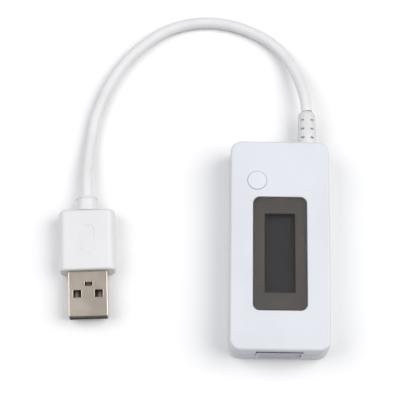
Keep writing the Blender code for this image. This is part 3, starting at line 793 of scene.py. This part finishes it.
def add_socket_shell(material):
    """The socket's folded shell: a flared lip, and two spring fingers between slots in each face."""
    half_w, half_h = SOCKET_HALF
    mouth, back = SOCKET_LOW.y + 0.05, SOCKET_HIGH.y
    lip = (  # how far out of the shell's outline, and how far behind the mouth
        (0.0, 1.3),
        (0.03, 1.1),
        (0.33, 0.15),
        (0.37, 0.04),
        (0.35, -0.02),
        (0.28, -0.05),
        (0.09, -0.05),
        (0.02, -0.02),
        (-0.03, 0.06),
        (-0.32, 1.0),
        (-SOCKET_SHEET, 1.2),
    )

    def ring(grow):
        return rounded_ring(half_w + grow, half_h + grow, 0.6 + grow, 8)

    stations = [(ring(0), back)]
    stations += [(ring(grow), mouth + far) for grow, far in lip]
    stations.append((ring(-SOCKET_SHEET), back))
    middle = (0, 0, SOCKET_MIDDLE.z)
    shell = mesh_object("socket_metal_shell", moved(lofted(stations, "Y", endless=True), *middle), material)
    slots = []
    corner, rim = 0.1, 0.05
    for x in (-SOCKET_FINGER_X, SOCKET_FINGER_X):
        for side in (-1, 1):
            for offset in (-SOCKET_FINGER_HALF, SOCKET_FINGER_HALF):
                ends = [mouth + far for far in SOCKET_SLOT_ENDS]
                slot = pillow(*SOCKET_SLOT_HALF, *ends, corner, rim, rim, steps=2, rim_steps=1, along="Y")
                slots.append(moved(slot, x + offset, 0, middle[2] + side * half_h))
    carve(shell, gathered(slots))
    finish_edges(shell, SHEET_CREASE)
    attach(shell, "meter")
    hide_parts("socket_shell")


# ---------------------------------------------------------------- finishes of the CAD pieces that stay
def dress(names, material):
    for name in names:
        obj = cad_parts[name]
        obj.data.materials.clear()
        obj.data.materials.append(material)


def soften(names, width_mm):
    """A small bevel on the straight edges of a CAD piece."""
    for name in names:
        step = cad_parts[name].modifiers.new("soft_edges", "BEVEL")
        step.width = width_mm * MM
        step.segments = 2
        step.limit_method = "ANGLE"
        step.angle_limit = math.radians(40)


def gold_material(name, colour, roughness):
    """Gold plating, worn paler and rougher in streaks."""
    nodes = Nodes(name, roughness, metallic=1.0)
    wear = nodes.noise(scale=900, detail=3.0)
    nodes.colour(nodes.mix(nodes.ramp(wear, low=0.4, high=0.65), colour, shade(colour, 1.18)))
    nodes.roughness(nodes.ramp(wear, low=0.3, high=0.7, to_low=roughness - 0.06, to_high=roughness + 0.10))
    streaks = nodes.noise(scale=1.0, detail=2.0, vector=nodes.stretched(3000, 120, 3000))
    nodes.bump(streaks, depth_mm=0.003)
    return nodes.material


def glass_panel_material():
    """The unlit display: near black glass, faintly cloudy."""
    nodes = Nodes("lcd_glass", roughness=0.35)
    nodes.set(Specular_IOR_Level=0.2)
    cloud = nodes.noise(scale=80, detail=2.0)
    nodes.colour(nodes.mix(cloud, (0.030, 0.030, 0.038), (0.036, 0.036, 0.045)))
    nodes.bump(nodes.noise(scale=900, detail=2.0), depth_mm=0.002)
    return nodes.material


def board_material():
    """Green laminate: woven glass under the mask, and paler copper areas."""
    nodes = Nodes("board_laminate", roughness=0.4)
    weave = nodes.add("ShaderNodeTexWave")
    weave.inputs["Scale"].default_value = 900
    nodes.link(nodes.place, weave.inputs["Vector"])
    copper = nodes.ramp(nodes.noise(scale=700, detail=1.0), low=0.50, high=0.53)
    nodes.colour(nodes.mix(copper, (0.02, 0.16, 0.07), (0.04, 0.25, 0.11)))
    nodes.bump(weave.outputs["Fac"], depth_mm=0.006)
    return nodes.material


def dress_inside():
    black = moulded("black_plastic", (0.030, 0.030, 0.034), 0.5, grain=2400)
    steel = sheet_metal("inner_steel", STEEL, 0.32)
    dress(["switch_base", "switch_plunger", "display_frame"], black)
    dress(["socket_tongue", "plug_tongue", "shunt_resistor"], black)
    dress(["switch_cover", "switch_dome"], steel)
    plates = {
        "socket": gold_material("bright_gold", (0.78, 0.58, 0.26), 0.28),
        # the plug's contacts take the same gold darkened to brown: painted shade for the dark inside of the
        # plug's shell
        "plug": gold_material("gold_painted_shade", (0.22, 0.18, 0.14), 0.42),
    }
    for family, plate in plates.items():
        dress([f"{family}_contact_{n}" for n in range(1, 5)], plate)
    soften(["socket_tongue", "plug_tongue"], 0.10)
    epoxy = moulded("chip_epoxy", (0.040, 0.040, 0.045), 0.6, grain=3500, depth=0.010)
    dress(["microcontroller", "current_amplifier", "voltage_regulator"], epoxy)
    ceramic = moulded("ceramic", (0.50, 0.38, 0.25), 0.45)
    dress(["input_capacitor", "output_capacitor", "filter_capacitor"], ceramic)
    dress(["backlight_guide", "backlight_led"], moulded("milky_acrylic", (0.80, 0.82, 0.84), 0.3))
    dress(["zebra_connector"], moulded("elastomer", (0.30, 0.20, 0.22), 0.7, grain=1800, depth=0.02))
    dress(["circuit_board"], board_material())
    film = moulded("mask_film", (0.080, 0.070, 0.063), 0.55, grain=3600, depth=0.004, blotch=0.06)
    dress(["window_mask"], film)
    dress(["display_glass"], glass_panel_material())
    wires = {
        "red": (0.55, 0.02, 0.02),
        "white": (0.8, 0.8, 0.8),
        "green": (0.04, 0.35, 0.09),
        "black": (0.02, 0.02, 0.02),
    }
    for name, colour in wires.items():
        dress([f"wire_{name}"], moulded(f"wire_{name}", colour, 0.45))


# ---------------------------------------------------------------- making it
add_camera()
jacket = cable_material("lead_jacket", LEAD)
cable, cable_length = add_cable(jacket)
gland = add_gland(cable_material("relief_jacket", shade(LEAD, 0.90)))
grip_plastic = moulded("grip_plastic", GRIP, 0.42)
grip = add_overmould(grip_plastic)
metal = sheet_metal("plated_steel", STEEL, 0.22, turn=math.radians(-PLUG_TURN))
plug_shell = add_plug_shell(metal)
plug_pieces = [grip, plug_shell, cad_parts["plug_tongue"]]
plug_pieces += [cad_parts[f"plug_contact_{n}"] for n in range(1, 5)]
add_studio()

plastic = case_material()
add_front(plastic)
add_rear(plastic)
add_lens(lens_material())
add_cap(moulded("button_plastic", shade(CASE, 1.03), 0.42, grain=3000, depth=0.008))
add_socket_shell(sheet_metal("socket_steel", SOCKET_STEEL, 0.33))
dress_inside()
dress(["cable_tail"], jacket)
